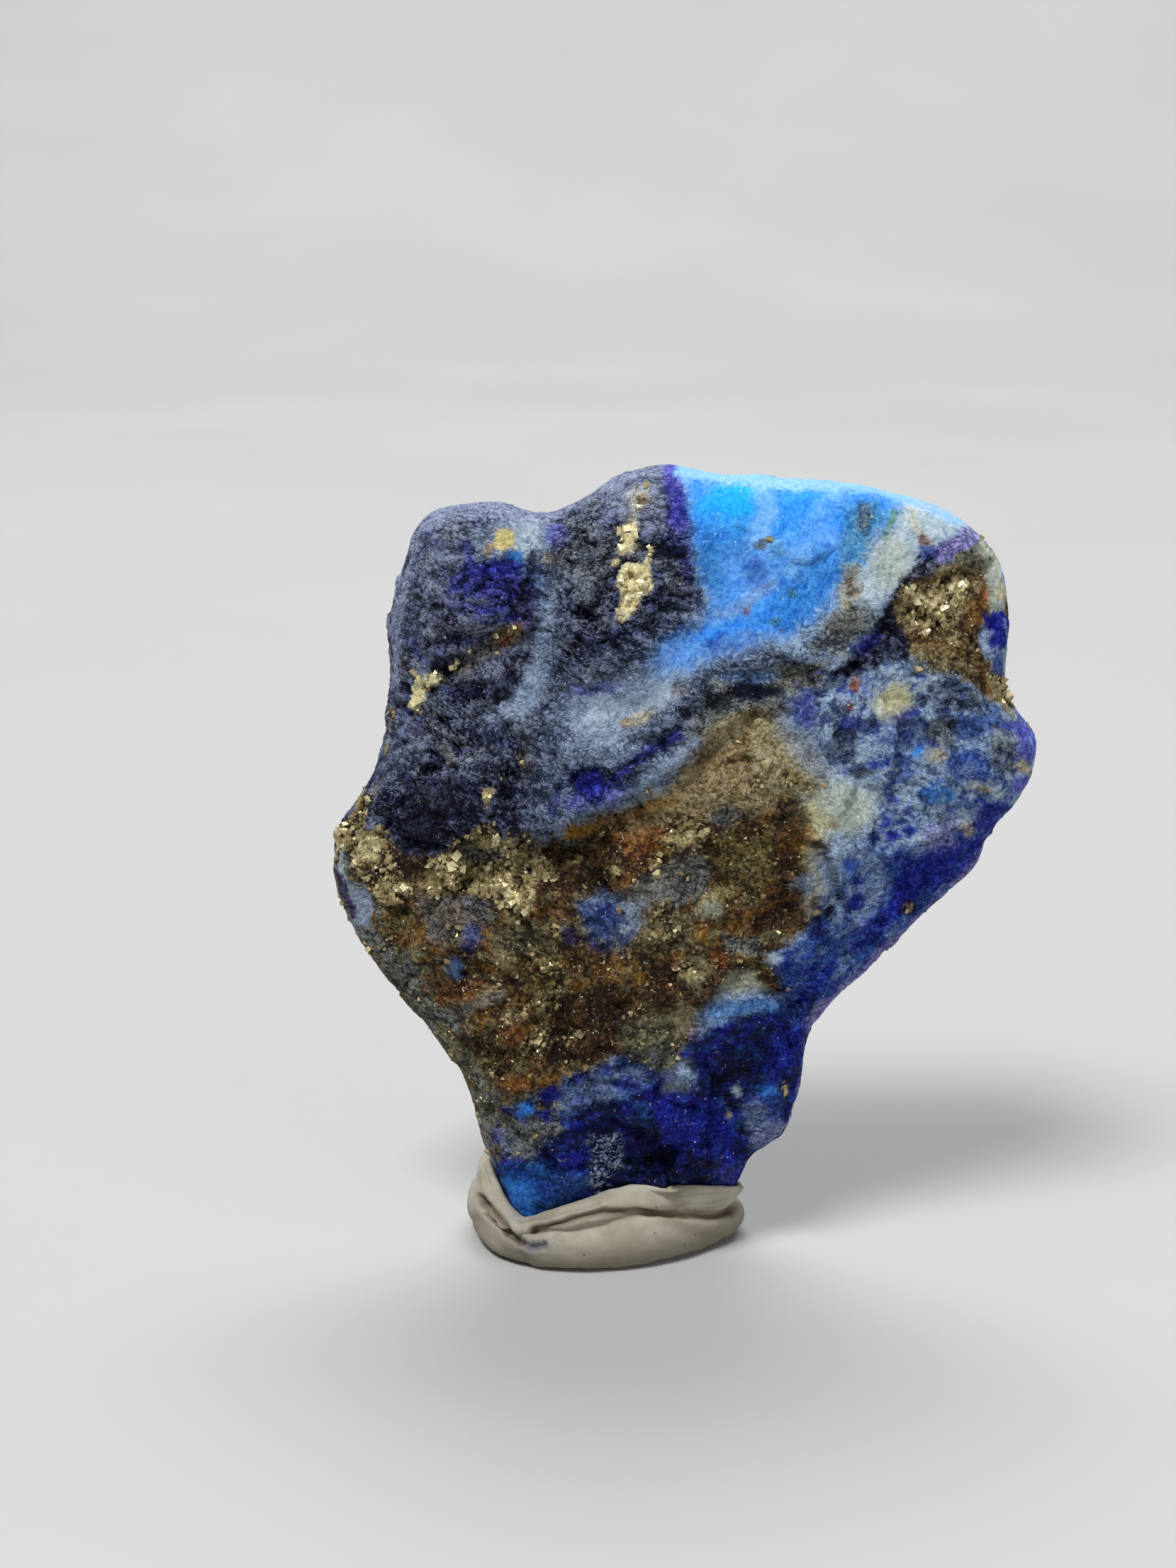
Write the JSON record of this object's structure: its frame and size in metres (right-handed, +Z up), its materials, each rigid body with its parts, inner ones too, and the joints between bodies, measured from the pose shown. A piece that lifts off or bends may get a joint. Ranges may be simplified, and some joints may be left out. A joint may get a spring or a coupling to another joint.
{
  "type": "rough lapis lazuli specimen",
  "caption": "Slab-like rough lapis lazuli with pyrite crystals, standing upright on its narrow foot in a pad of mounting putty.",
  "frame": {"origin": "middle of the putty pad's flat underside", "axes": "+Z up, from the underside to the top of the stone; the broad front face looks along -Y; +X to the right seen from the front"},
  "size_m": [0.0401, 0.0132, 0.0461],
  "materials": {
    "lapis": "matte",
    "putty": "matte"
  },
  "bodies": {
    "root": {"lapis_stone": "lapis", "putty_pad": "putty"}
  },
  "joints": []
}
